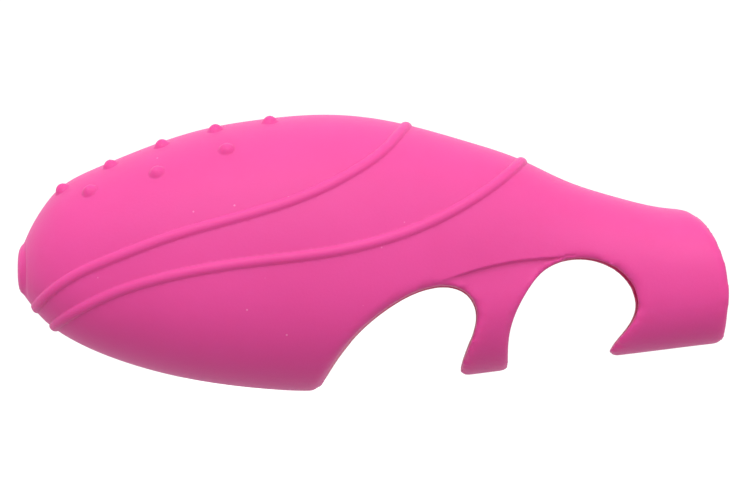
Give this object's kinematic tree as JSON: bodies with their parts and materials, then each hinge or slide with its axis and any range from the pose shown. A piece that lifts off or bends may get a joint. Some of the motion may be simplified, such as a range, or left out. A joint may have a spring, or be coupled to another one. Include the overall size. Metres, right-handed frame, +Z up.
{
  "type": "finger-worn silicone massager",
  "caption": "Soft silicone massage sleeve with a drop-shaped bulb, finger strap and finger cuff, holding a removable battery bullet with push button and vibration motor.",
  "frame": {"origin": "on the finger channel's axis, in the middle of the cuff ring", "axes": "+X from the nose to the cuff along finger channel and bullet, +Z up, +Y across"},
  "size_m": [0.1185, 0.0414, 0.0461],
  "materials": {
    "silicone": "matt, slightly translucent",
    "pearl_abs": "satin",
    "seal_rubber": "matt",
    "button_plastic": "satin",
    "black_plastic": "matt",
    "board": "satin",
    "brass": "bright",
    "spring_steel": "bright",
    "cell_steel": "satin",
    "nylon": "matt",
    "holder_plastic": "matt",
    "can_steel": "satin",
    "magnet": "matt",
    "copper": "enamelled copper",
    "tungsten": "sintered, matt",
    "red_wire": "satin",
    "black_wire": "satin"
  },
  "bodies": {
    "sleeve": {"sleeve": "silicone"},
    "bullet": {"shell": "pearl_abs", "cell_1": "cell_steel", "cell_2": "cell_steel", "cell_3": "cell_steel", "cell_lids": "cell_steel", "cell_gaskets": "nylon", "cell_carrier": "nylon", "front_contact": "brass", "front_spring": "spring_steel", "return_strip": "brass", "motor_holder": "holder_plastic", "motor_can": "can_steel", "bushing": "brass", "motor_magnet": "magnet", "motor_endcap": "nylon", "motor_brushes": "brass", "lead_pos": "red_wire", "lead_neg": "black_wire"},
    "rotor": {"motor_coil": "copper", "commutator": "copper", "shaft": "can_steel", "weight": "tungsten"},
    "seal": {"oring": "seal_rubber"},
    "cap": {"cap": "pearl_abs", "pcb": "board", "chip": "black_plastic", "pcb_retainer": "brass", "rear_spring": "spring_steel", "switch_body": "black_plastic"},
    "button": {"button": "button_plastic", "button_spring": "spring_steel"},
    "switch_plunger": {"switch_plunger": "black_plastic"}
  },
  "joints": [
    {"name": "bullet_slide", "type": "slide", "parent": "sleeve", "child": "bullet", "axis": [1, 0, 0], "range_m": [0, 0.114]},
    {"name": "rotor_spin", "type": "hinge", "parent": "bullet", "child": "rotor", "pos_m": [-0.086, 0, 0], "axis": [1, 0, 0], "continuous": true},
    {"name": "cap_travel", "type": "slide", "parent": "bullet", "child": "seal", "axis": [1, 0, 0], "range_m": [0, 0.0054]},
    {"name": "cap_turn", "type": "hinge", "parent": "seal", "child": "cap", "pos_m": [-0.06, 0, 0], "axis": [1, 0, 0], "range_deg": [0, 1080]},
    {"name": "button_press", "type": "slide", "parent": "cap", "child": "button", "axis": [-1, 0, 0], "range_m": [0, 0.0004], "stiffness_N_per_m": 500, "springref_m": -0.0005, "deforming": ["button_spring"]},
    {"name": "plunger_press", "type": "slide", "parent": "cap", "child": "switch_plunger", "axis": [-1, 0, 0], "range_m": [0, 0.00045]}
  ],
  "couplings": [
    {"joint": "cap_turn", "follows": "cap_travel", "rad_per_m": 3490.6},
    {"joint": "plunger_press", "follows": "button_press", "ratio": 1}
  ]
}
